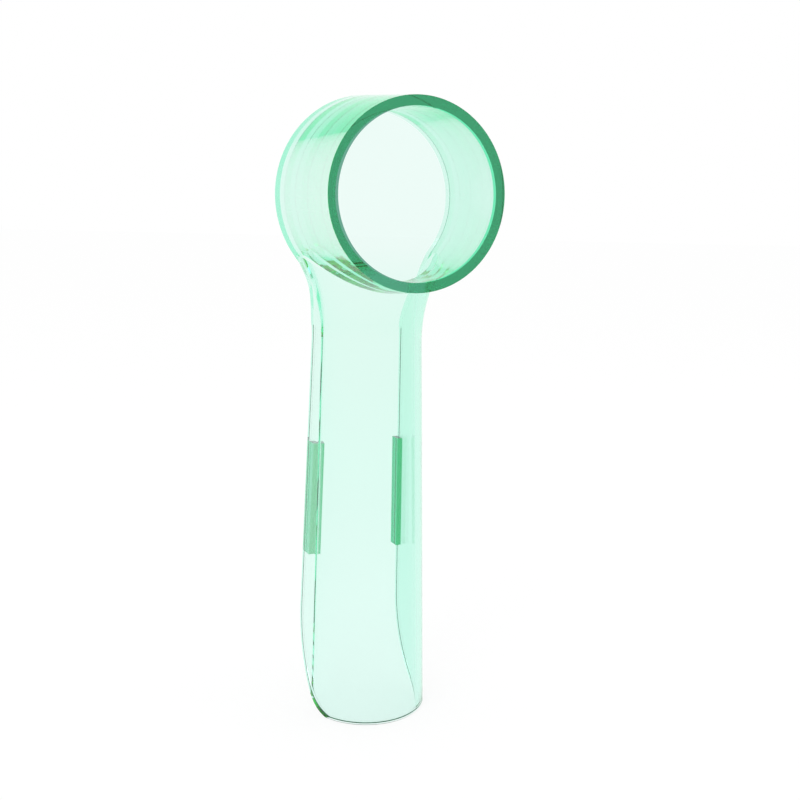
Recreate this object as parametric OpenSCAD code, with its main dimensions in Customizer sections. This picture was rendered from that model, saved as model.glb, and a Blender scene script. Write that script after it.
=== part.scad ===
// Clip-on cover for the head of an electric toothbrush.
// A short round drum goes over the bristles: its front is closed by a flat clear disc and its back is open.
// Below it hangs a U-shaped neck, open to the back and at its foot, that snaps over the brush stem.
// The real cover is one clear moulding. Here it is divided where its features meet, and the
// divisions touch face to face.
// +Z is up, the closed face looks along -Y, and the neck stands on Z = 0.

/* [Drum] */
// Outer diameter of the drum at its open back
drum_open_d = 22; // [20:0.2:26]
// Outer diameter of the drum at its closed face
drum_face_d = 19.6; // [18:0.2:20]
// Depth of the drum from its open back to its closed face
drum_depth = 13.3; // [10:0.1:18]
// Thickness of the drum's wall at the open back
drum_open_wall = 1.6; // [1.2:0.1:2]
// Thickness of the drum's wall at the closed face
drum_face_wall = 1.05; // [0.8:0.05:1.5]
// Thickness of the disc that closes the drum
disc_t = 1; // [0.8:0.1:2]

/* [Neck] */
// Drop from the drum's axis to the foot of the neck
neck_drop = 59; // [52:0.5:70]
// Width of the neck where its sides, drawn on upwards, reach the drum's axis
neck_top_w = 11.2; // [10:0.1:12.4]
// Width of the neck at its foot
neck_foot_w = 13.9; // [12.6:0.1:16]
// Thickness of the neck's walls
neck_wall = 0.8; // [0.6:0.05:1.2]
// How far the neck's axis lies in front of the drum's open back, at the drum's axis
neck_inset = 0.6; // [0:0.1:2]
// How much further forward the neck's axis lies at its foot
neck_lean = 1.65; // [0:0.05:3]

/* [Shoulders] */
// Radius of the hollow curve that carries the drum's outline into the neck's side
shoulder_r = 17; // [13:0.5:20]
// Depth by which that curve bites into the drum, so that no ledge is left at their meeting
shoulder_bite = 0.15; // [0.12:0.01:0.3]

/* [Side edges] */
// How far the side walls run out behind the drum's open back, below the shoulders
edge_run_top = 1.75; // [1:0.05:2.2]
// Drop from the drum's axis to where their back edges start to run out
edge_rise_from = 9; // [7.5:0.5:10.5]
// Drop from the drum's axis to where they have run out
edge_rise_to = 14.5; // [13:0.5:18]
// How far they run out behind it further down
edge_run_low = 2.4; // [2.2:0.1:4]
// Radius of the rounded lower back corners
corner_r = 11.7; // [10:0.1:16]
// Height of those corners above the foot
corner_h = 11; // [6:0.5:12]

/* [Snap ribs] */
// Drop from the drum's axis to the top of the ribs
rib_drop = 28; // [18:0.5:32]
// Height of a rib
rib_h = 13.3; // [6:0.1:16]
// How far a rib stands out of the side wall
rib_proud = 0.7; // [0.3:0.05:1.2]
// Width of a rib from the back edge of the wall forwards
rib_w = 1.6; // [0.8:0.1:2.5]

/* [Hidden] */
$fn = 96;
// Length by which a cutting shape runs past what it cuts
past = 2;
// Half the room in which the cutting shapes are drawn
room = 2 * neck_drop;
// Radii of the drum's wall
open_r = drum_open_d / 2;
face_r = drum_face_d / 2;
open_bore_r = open_r - drum_open_wall;
face_bore_r = face_r - drum_face_wall;
// Slope of the neck's sides, and how far its axis turns forwards
neck_slope = (neck_foot_w - neck_top_w) / 2 / neck_drop;
neck_turn = atan2(neck_lean, neck_drop);
// Steps in the curve along which the back edges run out
rise_steps = 12;
// Middle of the drum's depth and of the side edges' run, which is the part's own middle
middle_y = (edge_run_low - drum_depth) / 2;

// Value at a share of the way from a to b
function between(a, b, share) = a + (b - a) * share;

// Drop from the drum's axis to where a side line meets a curve of radius r that also touches a circle
// of radius c round that axis
function touch_drop(half_w, r, c) =
    let (
        n = sqrt(1 + neck_slope * neck_slope),
        a = half_w + r / n,
        b = r * neck_slope / n,
        p = a * neck_slope - b,
        q = a * a + b * b - (c + r) * (c + r)
    )
    (-p + sqrt(p * p - n * n * q)) / (n * n);

// Centre of that curve
function touch_centre(half_w, r, c) =
    let (
        n = sqrt(1 + neck_slope * neck_slope),
        s = touch_drop(half_w, r, c)
    )
    [half_w + neck_slope * s + r / n, -s + r * neck_slope / n];

// Level at which that curve touches the circle
function circle_level(half_w, r, c) = touch_centre(half_w, r, c)[1] * c / (c + r);

// Drop from the drum's axis to where the outer side line starts to swing out to the drum
outer_drop = touch_drop(neck_top_w / 2, shoulder_r, open_r - shoulder_bite);

// Puts the foot of the neck on Z = 0 and the part's middle on the Z axis
module placed() {
    translate([0, -middle_y, neck_drop]) children();
}

// Cone along the drum's axis, from the open back towards the face, running past both ends by extra
module drum_cone(back_r, front_r, extra) {
    rise = (front_r - back_r) / drum_depth * extra;
    translate([0, extra, 0]) rotate([90, 0, 0])
        cylinder(h = drum_depth + 2 * extra, r1 = back_r - rise, r2 = front_r + rise);
}

// Turns what is drawn upright on to the neck's own axis
module on_neck_axis() {
    translate([0, -neck_inset, 0]) rotate([-neck_turn, 0, 0]) children();
}

// Half outline of the neck, seen from the front: a straight side that swings out at the shoulder
module neck_outline(half_w, r, c) {
    s = touch_drop(half_w, r, c);
    centre = touch_centre(half_w, r, c);
    level = circle_level(half_w, r, c);
    foot = neck_drop + past;
    difference() {
        polygon([
            [0, level], [centre[0], level], [centre[0], -s],
            [half_w + neck_slope * s, -s], [half_w + neck_slope * foot, -foot], [0, -foot]
        ]);
        translate(centre) circle(r = r);
    }
}

// Half outline of the neck's outside, and of its inside with a wall's thickness taken off
module outside_outline() {
    neck_outline(neck_top_w / 2, shoulder_r, open_r - shoulder_bite);
}

module inside_outline(wall) {
    neck_outline(neck_top_w / 2 - wall, shoulder_r + wall, open_bore_r - shoulder_bite);
}

// Turns a half outline round the neck's axis, for its half-round front
module turned_round() {
    on_neck_axis() rotate_extrude() children();
}

// Runs a half outline straight back from the neck's axis, for the right side or the left
module run_back(left) {
    on_neck_axis() mirror([left ? 1 : 0, 0, 0])
        translate([0, drum_depth, 0]) rotate([90, 0, 0])
            linear_extrude(drum_depth) children();
}

// Hollow of the neck: half round in front, straight sides behind, swinging out at the shoulders
module neck_hollow() {
    turned_round() inside_outline(neck_wall);
    run_back(false) inside_outline(neck_wall);
    run_back(true) inside_outline(neck_wall);
}

// Side view of the neck: flat foot, rounded lower back corner, back edge that runs out below the drum
module side_view() {
    corner_y = edge_run_low - corner_r;
    run_out = [
        for (i = [0:rise_steps]) [
            edge_run_top * (1 - cos(180 * i / rise_steps)) / 2,
            -between(edge_rise_from, edge_rise_to, i / rise_steps)
        ]
    ];
    difference() {
        polygon(concat(
            [[-room, 0], [0, 0]],
            run_out,
            [[edge_run_low, corner_h - neck_drop], [edge_run_low, -neck_drop], [-room, -neck_drop]]
        ));
        difference() {
            translate([corner_y, -neck_drop - past]) square([corner_r + past, corner_h + past]);
            translate([corner_y, corner_h - neck_drop]) circle(r = corner_r);
        }
    }
}

// Everything inside the side view
module side_slab() {
    translate([-room, 0, 0]) rotate([90, 0, 90]) linear_extrude(2 * room) side_view();
}

// Keeps what lies between two levels of a half outline
module between_levels(top, bottom) {
    intersection() {
        children();
        translate([0, bottom]) square([room, top - bottom]);
    }
}

// Side of the neck between two levels, without what belongs to the drum
module neck_side(left, top, bottom) {
    difference() {
        intersection() {
            run_back(left) between_levels(top, bottom) difference() {
                outside_outline();
                inside_outline(neck_wall);
            }
            side_slab();
        }
        drum_cone(open_r, face_r, 0);
    }
}

// Side wall of the neck, below the shoulder
module side_wall(left) {
    neck_side(left, -outer_drop, -neck_drop - past);
}

// Web that carries the drum's outline into a side wall
module shoulder(left) {
    neck_side(left, 0, -outer_drop);
}

// Rib along the back edge of a side wall, which snaps behind the brush stem
module snap_rib(left) {
    difference() {
        intersection() {
            run_back(left) between_levels(-rib_drop, -rib_drop - rib_h) difference() {
                inside_outline(neck_wall);
                inside_outline(neck_wall + rib_proud);
            }
            side_slab();
        }
        translate([0, -rib_w, 0]) side_slab();
    }
}

// Flat clear disc set in the mouth of the drum's wall
module front_disc() {
    color("paleturquoise") placed()
        translate([0, disc_t - drum_depth, 0]) rotate([90, 0, 0])
            cylinder(
                h = disc_t,
                r1 = between(open_bore_r, face_bore_r, 1 - disc_t / drum_depth),
                r2 = face_bore_r
            );
}

// Tapered wall of the drum, opened below where the brush stem passes
module drum_wall() {
    color("aquamarine") placed() difference() {
        drum_cone(open_r, face_r, 0);
        drum_cone(open_bore_r, face_bore_r, past);
        neck_hollow();
    }
}

// Half-round front wall of the neck
module neck_front() {
    color("aquamarine") placed() difference() {
        intersection() {
            turned_round() outside_outline();
            on_neck_axis() translate([-room, -room, -room]) cube([2 * room, room, room]);
            side_slab();
        }
        turned_round() inside_outline(neck_wall);
        drum_cone(open_r, face_r, 0);
    }
}

module left_side_wall() {
    color("mediumaquamarine") placed() side_wall(true);
}

module right_side_wall() {
    color("mediumaquamarine") placed() side_wall(false);
}

module left_shoulder() {
    color("aquamarine") placed() shoulder(true);
}

module right_shoulder() {
    color("aquamarine") placed() shoulder(false);
}

module left_snap_rib() {
    color("mediumseagreen") placed() snap_rib(true);
}

module right_snap_rib() {
    color("mediumseagreen") placed() snap_rib(false);
}

front_disc();
drum_wall();
neck_front();
left_side_wall();
right_side_wall();
left_shoulder();
right_shoulder();
left_snap_rib();
right_snap_rib();
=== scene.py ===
# %% [markdown]
# # A clear clip-on cover for a round toothbrush head
#
# The object is one injection moulding in clear plastic with a mint tint. A short round drum goes
# over the bristles: its front is closed by a flat disc and its back is open. A neck hangs below it,
# half round in front and open to the back, and two small ribs inside it snap behind the brush stem.
#
# The shape is already settled in the CAD frame, so this lesson only dresses it. What makes clear
# plastic look real is the way light runs inside it, so the pieces are built for that.

# %% Open the CAD frame
import math

import bmesh
import bpy
from mathutils import Matrix, Vector


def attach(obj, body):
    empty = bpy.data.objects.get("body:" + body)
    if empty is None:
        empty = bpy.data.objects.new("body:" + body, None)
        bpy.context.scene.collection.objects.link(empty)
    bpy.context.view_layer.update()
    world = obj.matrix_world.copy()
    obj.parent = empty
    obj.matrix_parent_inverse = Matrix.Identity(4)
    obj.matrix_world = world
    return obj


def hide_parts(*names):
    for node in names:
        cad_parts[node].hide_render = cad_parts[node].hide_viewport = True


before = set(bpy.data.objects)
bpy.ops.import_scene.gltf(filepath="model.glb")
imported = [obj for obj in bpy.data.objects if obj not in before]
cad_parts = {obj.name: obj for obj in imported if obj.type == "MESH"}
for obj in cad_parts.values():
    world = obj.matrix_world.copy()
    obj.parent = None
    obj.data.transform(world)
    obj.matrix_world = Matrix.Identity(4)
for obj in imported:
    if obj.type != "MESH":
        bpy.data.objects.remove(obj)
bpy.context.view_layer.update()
MM = 0.001
print("CAD nodes:", ", ".join(sorted(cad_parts)))

# %% [markdown]
# ## Sizes
#
# Blender can't read the CAD source, so the sizes that the moulding follows are written again here,
# in millimetres. Heights are counted down from the drum's axis, and depths from its open back, as
# they are in the source. `place` carries such a point into the shared frame in metres.
#
# The last rows aren't sizes of the object. They say in how many steps each curve is drawn, how far
# the neck's forms run past its foot and behind its axis, and how much room the cutting forms get.

# %% Write down the moulding's sizes
OPEN_R, FACE_R, DRUM_DEPTH = 11.0, 9.8, 13.3
OPEN_WALL, FACE_WALL, DISC_T = 1.6, 1.05, 1.0
NECK_DROP, TOP_W, FOOT_W, NECK_WALL = 59.0, 11.2, 13.9, 0.8
NECK_INSET, NECK_LEAN = 0.6, 1.65
SHOULDER_R, BITE = 17.0, 0.15
RUN_TOP, RISE_FROM, RISE_TO, RUN_LOW = 1.75, 9.0, 14.5, 2.4
CORNER_R, CORNER_H = 11.7, 11.0
RIB_DROP, RIB_H, RIB_PROUD, RIB_W = 28.0, 13.3, 0.7, 1.6

ROUND, STRAIGHT_STEPS, CURVE_STEPS, RISE_STEPS, CORNER_STEPS = 256, 12, 64, 32, 64
SKIN_RUN, HOLLOW_RUN, CORE_RUN = (2, 13.3), (4, 14.3), (6, 16)
TRIM_ROOM, AHEAD_ROOM, FAR_FRONT, BLOCK = 50, 60, -100, 20

HEIGHT = NECK_DROP + OPEN_R
MIDDLE_Y = (RUN_LOW - DRUM_DEPTH) / 2
SLOPE = (FOOT_W - TOP_W) / 2 / NECK_DROP
TURN = math.atan2(NECK_LEAN, NECK_DROP)
OPEN_BORE_R, FACE_BORE_R = OPEN_R - OPEN_WALL, FACE_R - FACE_WALL
on_neck_axis = Matrix.Translation((0, -NECK_INSET, 0)) @ Matrix.Rotation(-TURN, 4, "X")


def place(point):
    return (Vector(point) + Vector((0, -MIDDLE_Y, NECK_DROP))) * MM


def bore_radius(depth):
    return OPEN_BORE_R + (FACE_BORE_R - OPEN_BORE_R) * depth / DRUM_DEPTH


print("bore behind the disc:", round(2 * bore_radius(DRUM_DEPTH - DISC_T), 2), "mm across")

# %% [markdown]
# ## Closed forms
#
# Refraction only works on a closed skin, so every form starts as a closed solid. `loft` skins a row
# of outlines with the same number of points, which is enough for the neck, for the side view that
# trims it, and for the ribs.

# %% Skin a row of outlines
def loft(name, outlines):
    mesh = bmesh.new()
    rows = [[mesh.verts.new(place(p)) for p in outline] for outline in outlines]
    count = len(rows[0])
    for low, high in zip(rows, rows[1:]):
        for i in range(count):
            mesh.faces.new((low[i], low[(i + 1) % count], high[(i + 1) % count], high[i]))
    mesh.faces.new(rows[0][::-1])
    mesh.faces.new(rows[-1])
    bmesh.ops.recalc_face_normals(mesh, faces=mesh.faces)
    data = bpy.data.meshes.new(name)
    mesh.to_mesh(data)
    mesh.free()
    piece = bpy.data.objects.new(name, data)
    bpy.context.scene.collection.objects.link(piece)
    return piece


# %% [markdown]
# ## The neck's form
#
# Seen from the front, the neck's side is a straight line that swings out in a hollow curve until it
# touches the drum's circle. The touching point follows from the two radii, so it is worked out, not
# guessed. Each level of the neck is then half a circle in front and two straight sides behind.

# %% Work out where the shoulder's curve touches
def shoulder(half_width, radius, circle):
    n = math.hypot(1, SLOPE)
    a, b = half_width + radius / n, radius * SLOPE / n
    p, q = a * SLOPE - b, a * a + b * b - (circle + radius) ** 2
    drop = (-p + math.sqrt(p * p - n * n * q)) / (n * n)
    return drop, (half_width + SLOPE * drop + radius / n, -drop + radius * SLOPE / n)


# %% Skin the neck from its foot up to the drum
def neck_form(name, half_width, radius, circle, run):
    past_foot, back = run
    drop, (cx, cz) = shoulder(half_width, radius, circle)
    start = math.atan2(-drop - cz, half_width + SLOPE * drop - cx) % math.tau
    end = math.atan2(-cz, -cx) % math.tau
    foot = NECK_DROP + past_foot
    levels = []
    for i in range(STRAIGHT_STEPS):
        down = foot + (drop - foot) * i / STRAIGHT_STEPS
        levels.append((half_width + SLOPE * down, -down))
    for i in range(CURVE_STEPS + 1):
        turn = start + (end - start) * i / CURVE_STEPS
        levels.append((cx + radius * math.cos(turn), cz + radius * math.sin(turn)))
    half = ROUND // 2
    outlines = []
    for wide, z in levels:
        ring = [(wide * math.cos(math.pi + math.pi * i / half),
                 wide * math.sin(math.pi + math.pi * i / half), z) for i in range(half + 1)]
        ring += [(wide, back, z), (-wide, back, z)]
        outlines.append([on_neck_axis @ Vector(p) for p in ring])
    return loft(name, outlines)


# %% Draw the side view that trims the neck
def side_view(shift, half_room):
    line = [(FAR_FRONT, 0), (0, 0)]
    for i in range(RISE_STEPS + 1):
        run = RUN_TOP * (1 - math.cos(math.pi * i / RISE_STEPS)) / 2
        line.append((run, -(RISE_FROM + (RISE_TO - RISE_FROM) * i / RISE_STEPS)))
    sweep = math.asin(CORNER_H / CORNER_R)
    for i in range(CORNER_STEPS + 1):
        turn = sweep * i / CORNER_STEPS
        line.append((RUN_LOW - CORNER_R * (1 - math.cos(turn)),
                     CORNER_H - NECK_DROP - CORNER_R * math.sin(turn)))
    line.append((FAR_FRONT, -NECK_DROP))
    return loft("side_view", [[(x, y + shift, z) for y, z in line]
                              for x in (-half_room, half_room)])


neck_outside = neck_form("neck_outside", TOP_W / 2, SHOULDER_R, OPEN_R - BITE, SKIN_RUN)
neck_inside = neck_form("neck_inside", TOP_W / 2 - NECK_WALL, SHOULDER_R + NECK_WALL,
                        OPEN_BORE_R - BITE, HOLLOW_RUN)
trim = side_view(0, TRIM_ROOM)
print("neck form:", len(neck_outside.data.polygons), "faces")

# %% [markdown]
# ## One skin for the whole moulding
#
# The CAD model divides the moulding into touching solids. In clear plastic each touching face would
# show as a pane inside the wall, so here the drum, its disc, the neck and the shoulders become one
# skin. The drum follows a rule, two cones and a disc's thickness, so a Geometry Nodes tree makes it
# from named sizes: it joins the drum to the trimmed neck and then takes both hollows out.

# %% Give the tree short helpers
def add_node(tree, kind, **settings):
    node = tree.nodes.new(kind)
    for key, value in settings.items():
        setattr(node, key, value)
    return node


def add_input(tree, name, kind):
    return tree.interface.new_socket(name, in_out="INPUT", socket_type=kind).identifier


def connect(tree, *pairs):
    for source, target in pairs:
        tree.links.new(source, target)


# %% Make one cone of the drum inside the tree
def cone(tree, front, back, start, depth, sides):
    shape = add_node(tree, "GeometryNodeMeshCone", fill_type="NGON")
    turned = add_node(tree, "GeometryNodeTransform")
    spot = add_node(tree, "ShaderNodeCombineXYZ")
    spot.inputs["Z"].default_value = NECK_DROP * MM
    turned.inputs["Rotation"].default_value = (math.pi / 2, 0, 0)
    connect(tree, (sides, shape.inputs["Vertices"]), (front, shape.inputs["Radius Top"]),
            (back, shape.inputs["Radius Bottom"]), (depth, shape.inputs["Depth"]),
            (start, spot.inputs["Y"]), (shape.outputs["Mesh"], turned.inputs["Geometry"]),
            (spot.outputs["Vector"], turned.inputs["Translation"]))
    return turned.outputs["Geometry"]


def boolean(tree, operation, first, others):
    node = add_node(tree, "GeometryNodeMeshBoolean", operation=operation, solver="EXACT")
    if operation == "DIFFERENCE":
        tree.links.new(first, node.inputs["Mesh 1"])
    else:
        others = [first] + others
    for other in others:
        tree.links.new(other, node.inputs["Mesh 2"])
    return node.outputs["Mesh"]


# %% Build the tree
tree = bpy.data.node_groups.new("moulding", "GeometryNodeTree")
tree.interface.new_socket("Geometry", in_out="INPUT", socket_type="NodeSocketGeometry")
tree.interface.new_socket("Geometry", in_out="OUTPUT", socket_type="NodeSocketGeometry")
key = {name: add_input(tree, name, kind) for name, kind in (
    ("Side view", "NodeSocketObject"), ("Neck hollow", "NodeSocketObject"),
    ("Sides", "NodeSocketInt"), ("Open radius", "NodeSocketFloat"),
    ("Face radius", "NodeSocketFloat"), ("Drum depth", "NodeSocketFloat"),
    ("Drum start", "NodeSocketFloat"), ("Bore back radius", "NodeSocketFloat"),
    ("Bore front radius", "NodeSocketFloat"), ("Bore depth", "NodeSocketFloat"),
    ("Bore start", "NodeSocketFloat"), ("Plastic", "NodeSocketMaterial"))}
given = tree.nodes.new("NodeGroupInput").outputs
side_form = add_node(tree, "GeometryNodeObjectInfo", transform_space="ORIGINAL")
hollow_form = add_node(tree, "GeometryNodeObjectInfo", transform_space="ORIGINAL")
connect(tree, (given["Side view"], side_form.inputs["Object"]),
        (given["Neck hollow"], hollow_form.inputs["Object"]))
drum = cone(tree, given["Face radius"], given["Open radius"], given["Drum start"],
            given["Drum depth"], given["Sides"])
bore = cone(tree, given["Bore front radius"], given["Bore back radius"], given["Bore start"],
            given["Bore depth"], given["Sides"])
trimmed = boolean(tree, "INTERSECT", given["Geometry"], [side_form.outputs["Geometry"]])
solid = boolean(tree, "UNION", trimmed, [drum])
hollow = boolean(tree, "UNION", hollow_form.outputs["Geometry"], [bore])
shell = boolean(tree, "DIFFERENCE", solid, [hollow])
real = add_node(tree, "GeometryNodeRealizeInstances")
finish = add_node(tree, "GeometryNodeSetMaterial")
leave = tree.nodes.new("NodeGroupOutput")
connect(tree, (shell, real.inputs["Geometry"]),
        (real.outputs["Geometry"], finish.inputs["Geometry"]),
        (given["Plastic"], finish.inputs["Material"]),
        (finish.outputs["Geometry"], leave.inputs["Geometry"]))
print("moulding tree:", len(tree.nodes), "nodes")

# %% [markdown]
# ## The plastic
#
# Clear plastic is smooth, bends light at an index of about 1.49 and takes a little red out of it on
# the way through. That colour sits in the body of the plastic, so long ways through it look deeper.
# `absorbed` says how much red, green and blue the plastic takes out per metre. Blender wants a
# colour and a density for it, and the density only has to be larger than each of the three.
#
# The body's colour alone doesn't match the photograph everywhere, so its surface helps. The neck
# gets a light tint by height, because its thin wall came out too pale beside the drum. The front
# rim and the fine chamfers get a deep green by the `edge` mark. That is painted shade: it stands
# in for the dark look of light turned back inside the rim and the edges. The neck's chamfers are
# made nearly opaque by the `line` mark, which paints a dark line there. All of this is dressing,
# matched to the photograph, and not something the plastic itself explains.

# %% Mix the clear mint plastic
# The third number is how clear a chamfer with the painted dark line stays.
CLOUD_SHADE, ROUGHEST, PAINTED_LINE_CLEAR = 0.97, 0.03, 0.2
PLAIN = ((0, (1, 1, 1)), (HEIGHT, (1, 1, 1)))


def clear_plastic(name, absorbed, density, by_height=PLAIN, edge=(1, 1, 1)):
    finish = bpy.data.materials.new(name)
    finish.use_nodes = True
    tree = finish.node_tree
    shader = tree.nodes["Principled BSDF"]
    shader.inputs["IOR"].default_value = 1.49
    here = add_node(tree, "ShaderNodeTexCoord")
    cloud = add_node(tree, "ShaderNodeTexNoise")
    cloud.inputs["Scale"].default_value = 90.0
    cloud.inputs["Detail"].default_value = 2.0
    split = add_node(tree, "ShaderNodeSeparateXYZ")
    height = add_node(tree, "ShaderNodeMapRange")
    height.inputs["From Max"].default_value = HEIGHT * MM
    ramp = add_node(tree, "ShaderNodeValToRGB")
    while len(ramp.color_ramp.elements) < len(by_height):
        ramp.color_ramp.elements.new(0.5)
    for stop, (z, colour) in zip(ramp.color_ramp.elements, by_height):
        stop.position = z / HEIGHT
        stop.color = (*colour, 1)
    tint = add_node(tree, "ShaderNodeMix", data_type="RGBA", blend_type="MULTIPLY")
    tint.inputs["B"].default_value = (CLOUD_SHADE, CLOUD_SHADE, CLOUD_SHADE, 1)
    # The edge mark mixes in painted shade: a deep green on the rim and the chamfers.
    marked = add_node(tree, "ShaderNodeAttribute", attribute_name="edge")
    deeper = add_node(tree, "ShaderNodeMix", data_type="RGBA")
    deeper.inputs["B"].default_value = (*edge, 1)
    # The line mark paints a dark line: it makes the neck's chamfers nearly opaque.
    painted_line = add_node(tree, "ShaderNodeAttribute", attribute_name="line")
    clear = add_node(tree, "ShaderNodeMapRange")
    clear.inputs["To Min"].default_value = 1.0
    clear.inputs["To Max"].default_value = PAINTED_LINE_CLEAR
    polish = add_node(tree, "ShaderNodeMapRange")
    polish.inputs["To Min"].default_value = 0.0
    polish.inputs["To Max"].default_value = ROUGHEST
    inside = add_node(tree, "ShaderNodeVolumeAbsorption")
    inside.inputs["Color"].default_value = (*[1 - a / density for a in absorbed], 1)
    inside.inputs["Density"].default_value = density
    connect(tree, (here.outputs["Object"], cloud.inputs["Vector"]),
            (here.outputs["Object"], split.inputs["Vector"]),
            (split.outputs["Z"], height.inputs["Value"]),
            (height.outputs["Result"], ramp.inputs["Fac"]),
            (ramp.outputs["Color"], tint.inputs["A"]),
            (cloud.outputs["Fac"], tint.inputs["Factor"]),
            (marked.outputs["Fac"], deeper.inputs["Factor"]),
            (tint.outputs["Result"], deeper.inputs["A"]),
            (deeper.outputs["Result"], shader.inputs["Base Color"]),
            (painted_line.outputs["Fac"], clear.inputs["Value"]),
            (clear.outputs["Result"], shader.inputs["Transmission Weight"]),
            (cloud.outputs["Fac"], polish.inputs["Value"]),
            (polish.outputs["Result"], shader.inputs["Roughness"]),
            (inside.outputs["Volume"], tree.nodes["Material Output"].inputs["Volume"]))
    return finish


NECK_TINTS = ((0, (0.88, 1, 0.97)), (30, (0.82, 0.99, 0.93)), (45, (0.84, 0.99, 0.93)),
              (54, (1, 1, 1)))
# The deep green below is painted shade: on the rim and the chamfers it stands in for the dark look
# of light turned back inside them.
EDGE_SHADE_GREEN = (0.02, 0.14, 0.08)
clear_mint = clear_plastic("clear_mint", (140, 10, 52), 300, NECK_TINTS, EDGE_SHADE_GREEN)
deep_mint = clear_plastic("deep_mint", (2500, 400, 1000), 3000)

# %% [markdown]
# ## Run the tree and keep its result
#
# The modifier's sizes are set by each socket's identifier before the object is evaluated. Its
# result becomes a plain mesh, and its doubles are merged so that the skin is one closed surface.

# %% Turn the modifiers into a plain mesh
def bake(piece):
    depsgraph = bpy.context.evaluated_depsgraph_get()
    data = bpy.data.meshes.new_from_object(piece.evaluated_get(depsgraph))
    piece.modifiers.clear()
    piece.data = data
    return data


def open_edges(mesh):
    return sum(1 for edge in mesh.edges if not edge.is_manifold)


# %% Keep a closed mesh
SAME_SPOT, FORM_SHARP = 1e-7, math.radians(22)


def keep_result(piece):
    data = bake(piece)
    mesh = bmesh.new()
    mesh.from_mesh(data)
    bmesh.ops.remove_doubles(mesh, verts=mesh.verts, dist=SAME_SPOT)
    bmesh.ops.recalc_face_normals(mesh, faces=mesh.faces)
    loose = open_edges(mesh)
    mesh.to_mesh(data)
    mesh.free()
    data.shade_smooth()
    data.set_sharp_from_angle(angle=FORM_SHARP)
    print(piece.name, "has", len(data.polygons), "faces and", loose, "open edges")


# %% [markdown]
# ## Fine edges
#
# A moulding's edges are never knife sharp, and in clear plastic they show as thin dark lines. A
# narrow chamfer makes them, on the neck's edges and on the drum's outer back edge, and its deep
# green tint is painted shade for those lines. A nearly opaque one gives the neck a darker painted
# line, nearer to the photograph. On the drum it is left out, because there the wall mirrors it as
# rings and as dark marks across the rim.
#
# The chamfer stops short of the two ends of the drum's back face. Closer to them the chamfers
# cross, and the face is then filled straight across the open bore. The last cell here tests for
# that. It still lets one small face pass, inside the right foot corner, which the chamfers fold a
# little.

# %% Choose the edges
DRUM_EDGE_W, NECK_EDGE_W = 0.10, 0.14
REAR_DROP, OUTER_BAND, ON_PLANE = 7.0, 0.2, 1e-6
EDGE_ANGLE = math.radians(35)


def on_drum_back(point):
    off_plane = point.y + MIDDLE_Y * MM
    up = point.z - NECK_DROP * MM
    return (abs(off_plane) < ON_PLANE and up > -REAR_DROP * MM
            and math.hypot(point.x, up) > (OPEN_R - OUTER_BAND) * MM)


def on_neck(point):
    return point.z < (NECK_DROP - RISE_TO) * MM


def outward_edges(mesh, lies_there):
    return [edge for edge in mesh.edges
            if edge.calc_face_angle(0) > EDGE_ANGLE and edge.is_convex
            and all(lies_there(v.co) for v in edge.verts)]


# %% Chamfer them
LEAST_SHARE = 0.5


def chamfer(mesh, edges, width):
    length = sum(edge.calc_length() for edge in edges)
    count = len(edges)
    faces = bmesh.ops.bevel(mesh, geom=edges, offset=width, offset_type="WIDTH", segments=1,
                            affect="EDGES", clamp_overlap=False)["faces"]
    across = sum(face.calc_area() for face in faces) / length
    print(count, "edges gave", len(faces), "chamfers", round(across / MM, 3), "mm wide")
    assert faces and across > LEAST_SHARE * width, "the edges were not softened"
    return faces


# %% Measure whether each face is filled inside its own outline
def worst_fill(data):
    data.calc_loop_triangles()
    filled = [0.0] * len(data.polygons)
    for part in data.loop_triangles:
        filled[part.polygon_index] += part.area
    return max(abs(filled[face.index] - face.area) for face in data.polygons) / MM ** 2


# %% Mark the chamfers and the rim with painted shade
SLIVER, SKIN_SHARP, MOST_OVERFILL = 2e-6, math.radians(5), 0.1


def mark_edges(piece):
    data = piece.data
    mesh = bmesh.new()
    mesh.from_mesh(data)
    marks = mesh.faces.layers.float
    for name in ("edge", "line"):
        marks.new(name)
    painted_shade_mark, dark_line_mark = marks["edge"], marks["line"]
    bmesh.ops.dissolve_degenerate(mesh, dist=SLIVER, edges=mesh.edges)
    for f in mesh.faces:
        f.material_index = 0
    # Chamfers get painted shade by the edge mark; on the neck also a painted dark line by the line
    # mark.
    for lies_there, width, opaque in ((on_drum_back, DRUM_EDGE_W, 0.0),
                                      (on_neck, NECK_EDGE_W, 1.0)):
        for f in chamfer(mesh, outward_edges(mesh, lies_there), width * MM):
            f[painted_shade_mark], f[dark_line_mark] = 1.0, opaque
    # The rim gets painted shade: a deep green for the dark look of light turned back in its wall.
    front = (-DRUM_DEPTH - MIDDLE_Y) * MM
    face = max((f for f in mesh.faces if abs(f.calc_center_median().y - front) < ON_PLANE),
               key=lambda f: f.calc_area())
    rim = bmesh.ops.inset_region(mesh, faces=[face], thickness=FACE_WALL * MM)["faces"]
    for f in rim:
        f[painted_shade_mark] = 1.0
    loose = open_edges(mesh)
    mesh.to_mesh(data)
    mesh.free()
    data.materials.clear()
    data.materials.append(clear_mint)
    data.shade_smooth()
    data.set_sharp_from_angle(angle=SKIN_SHARP)
    step = piece.modifiers.new("normals", "WEIGHTED_NORMAL")
    step.keep_sharp = True
    data = bake(piece)
    off = worst_fill(data)
    print("worst face is filled to within", round(off, 3), "mm2 of its own area")
    assert off < MOST_OVERFILL, "a face is filled outside its own outline"
    print(piece.name, "has", len(data.polygons), "faces,", len(rim), "on the rim, and",
          loose, "open edges")


# %% [markdown]
# ## The moulding itself
#
# The tree is given its sizes, its result is kept, and its edges are then softened and marked. The
# bore starts a little behind the drum, so that it cuts cleanly through the open back.

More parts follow.
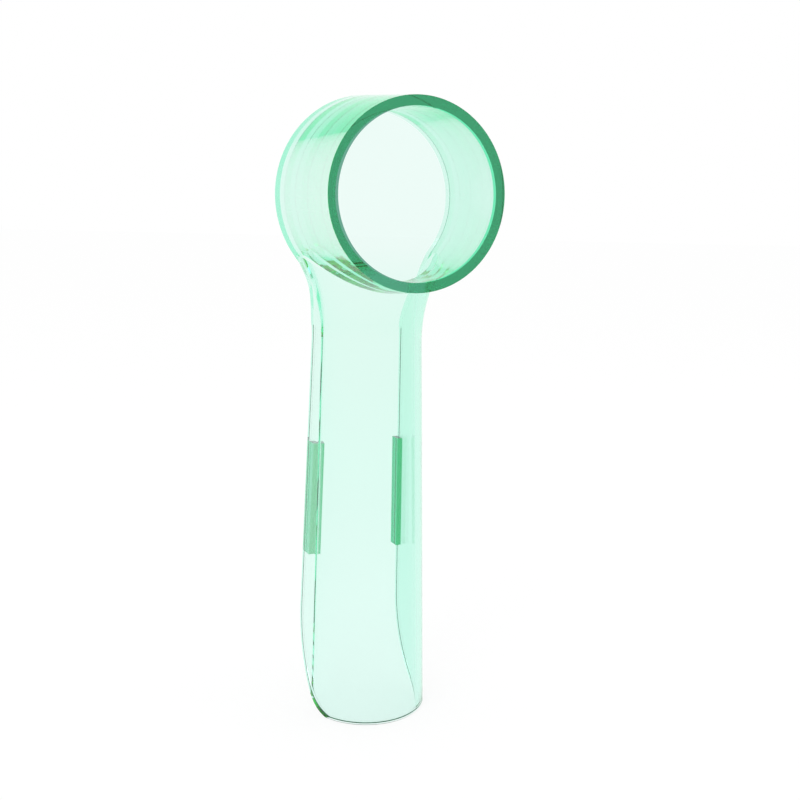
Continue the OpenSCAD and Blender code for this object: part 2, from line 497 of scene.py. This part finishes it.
# %% Make the moulding
body = neck_outside
body.name = "clear_moulding"
maker = body.modifiers.new("moulding", "NODES")
maker.node_group = tree
past_back = 3.0
for name, value in (
        ("Side view", trim), ("Neck hollow", neck_inside), ("Sides", ROUND),
        ("Open radius", OPEN_R * MM), ("Face radius", FACE_R * MM),
        ("Drum depth", DRUM_DEPTH * MM), ("Drum start", -MIDDLE_Y * MM),
        ("Bore back radius", bore_radius(-past_back) * MM),
        ("Bore front radius", bore_radius(DRUM_DEPTH - DISC_T) * MM),
        ("Bore depth", (DRUM_DEPTH - DISC_T + past_back) * MM),
        ("Bore start", (past_back - MIDDLE_Y) * MM), ("Plastic", clear_mint)):
    maker[key[name]] = value
keep_result(body)
mark_edges(body)

# %% [markdown]
# ## Snap ribs
#
# Each side wall carries a rib along its back edge, which holds the brush stem. In the photograph
# the ribs show a deeper green than the walls, and why they do isn't known. So each is its own piece
# here, in a plastic that absorbs far more, matched to the photograph. A hair's gap keeps a
# rib's faces off the wall's, so that no two faces lie in the same place.

# %% Cut a form with another
def cut(piece, other, operation):
    step = piece.modifiers.new(operation, "BOOLEAN")
    step.object = other
    step.operation = operation
    step.solver = "EXACT"
    bake(piece)


# %% Make both ribs
HAIR = 0.01


def rib_piece(name, side):
    rib = neck_form(name, TOP_W / 2 - NECK_WALL - HAIR, SHOULDER_R + NECK_WALL + HAIR,
                    OPEN_BORE_R - BITE, HOLLOW_RUN)
    top, foot = -RIB_DROP, -RIB_DROP - RIB_H
    corners = ((0, 0), (side * BLOCK, 0), (side * BLOCK, BLOCK), (0, BLOCK))
    block = loft("block", [[on_neck_axis @ Vector((x, y, z)) for x, y in corners]
                           for z in (foot, top)])
    core = neck_form("core", TOP_W / 2 - NECK_WALL - RIB_PROUD,
                     SHOULDER_R + NECK_WALL + RIB_PROUD, OPEN_BORE_R - BITE, CORE_RUN)
    ahead = side_view(-RIB_W, AHEAD_ROOM)
    for other, operation in ((block, "INTERSECT"), (trim, "INTERSECT"),
                             (core, "DIFFERENCE"), (ahead, "DIFFERENCE")):
        cut(rib, other, operation)
    for other in (block, core, ahead):
        bpy.data.objects.remove(other)
    keep_result(rib)
    rib.data.materials.clear()
    rib.data.materials.append(deep_mint)
    return rib


left_rib = rib_piece("left_rib", -1)
right_rib = rib_piece("right_rib", 1)
for form in (trim, neck_inside):
    bpy.data.objects.remove(form)

# %% [markdown]
# ## Hand the pieces to the frame
#
# The moulding stands for the seven touching solids, and each rib for its own solid. Nothing on the
# cover moves, so all of them ride on the one body.

# %% Replace the CAD solids
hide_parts("front_disc", "drum_wall", "neck_front", "left_side_wall", "right_side_wall",
            "left_shoulder", "right_shoulder")
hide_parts("left_snap_rib")
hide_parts("right_snap_rib")
for piece, slot in ((body, "clear_mint"), (left_rib, "deep_mint_rib"),
                    (right_rib, "deep_mint_rib")):
    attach(piece, "root")

# %% [markdown]
# ## Floor, light and background
#
# Clear things are lit by what stands around them, so the room is plain white. The floor shows white
# to the camera and through the plastic, and still keeps some of the cover's soft shadow.

# %% Lay the floor
WHITE_SHARE = 0.85


def floor_finish():
    finish = bpy.data.materials.new("pale_floor")
    finish.use_nodes = True
    tree = finish.node_tree
    shader = tree.nodes["Principled BSDF"]
    shader.inputs["Base Color"].default_value = (0.95, 0.95, 0.95, 1)
    shader.inputs["Roughness"].default_value = 0.9
    shader.inputs["Specular IOR Level"].default_value = 0.0
    glow = add_node(tree, "ShaderNodeEmission")
    path = add_node(tree, "ShaderNodeLightPath")
    seen = add_node(tree, "ShaderNodeMath", operation="MAXIMUM")
    through = add_node(tree, "ShaderNodeMath", operation="MAXIMUM")
    share = add_node(tree, "ShaderNodeMath", operation="MULTIPLY")
    share.inputs[1].default_value = WHITE_SHARE
    blend = add_node(tree, "ShaderNodeMixShader")
    connect(tree, (path.outputs["Is Camera Ray"], seen.inputs[0]),
            (path.outputs["Is Glossy Ray"], seen.inputs[1]),
            (seen.outputs[0], through.inputs[0]),
            (path.outputs["Is Transmission Ray"], through.inputs[1]),
            (through.outputs[0], share.inputs[0]), (share.outputs[0], blend.inputs[0]),
            (shader.outputs[0], blend.inputs[1]), (glow.outputs[0], blend.inputs[2]),
            (blend.outputs[0], tree.nodes["Material Output"].inputs["Surface"]))
    return finish


bpy.ops.mesh.primitive_plane_add(size=6.0)
floor = bpy.context.object
floor.name = "floor"
floor.data.materials.append(floor_finish())

# %% Light the room
world = bpy.data.worlds.new("room")
bpy.context.scene.world = world
world.use_nodes = True
background = world.node_tree.nodes["Background"]
background.inputs["Color"].default_value = (1, 1, 1, 1)
background.inputs["Strength"].default_value = 1.0
bpy.context.scene.view_settings.view_transform = "Standard"

LAMP_SIZE, LAMP_AIM = 0.20, Vector((0, 0, 0.035))


def soft_lamp(name, spot, watts):
    data = bpy.data.lights.new(name, "AREA")
    data.size = LAMP_SIZE
    data.energy = watts
    lamp = bpy.data.objects.new(name, data)
    bpy.context.scene.collection.objects.link(lamp)
    lamp.location = spot
    lamp.rotation_euler = (LAMP_AIM - Vector(spot)).to_track_quat("-Z", "Y").to_euler()


soft_lamp("key_lamp", (-0.25, -0.20, 0.35), 0.35)
soft_lamp("fill_lamp", (0.30, -0.15, 0.20), 0.15)

# %% [markdown]
# ## Room for light to turn back
#
# Light inside a thin clear wall is turned back from side to side many times before it gets out. If
# it is given up too early those places come out grey or black, so the limits on it are raised here.

# %% Raise the limits
TURNS = 96
for limit in ("max_bounces", "transmission_bounces", "glossy_bounces"):
    setattr(bpy.context.scene.cycles, limit, TURNS)
print("light may turn back", bpy.context.scene.cycles.max_bounces, "times")

# %% [markdown]
# ## Camera
#
# The camera stands where the photograph's perspective puts it: in front, to the left, about level
# with the drum, with the neck falling away below it.

# %% Set up the camera
AIM, AWAY, LENS = Vector((2.136, 0.182, 36.657)) * MM, 115.23 * MM, 46.27
azimuth, elevation, roll = math.radians(-24.43), math.radians(9.93), math.radians(1.68)
back = Vector((math.sin(azimuth) * math.cos(elevation), -math.cos(azimuth) * math.cos(elevation),
               math.sin(elevation)))
level = Vector((math.cos(azimuth), math.sin(azimuth), 0))
rise = back.cross(level)
across = level * math.cos(roll) + rise * math.sin(roll)
upward = rise * math.cos(roll) - level * math.sin(roll)
camera = bpy.data.objects.new("camera", bpy.data.cameras.new("camera"))
bpy.context.scene.collection.objects.link(camera)
camera.matrix_world = (Matrix.Translation(AIM + back * AWAY)
                       @ Matrix((across, upward, back)).transposed().to_4x4())
camera.data.lens = LENS
camera.data.clip_start = MM
bpy.context.scene.camera = camera
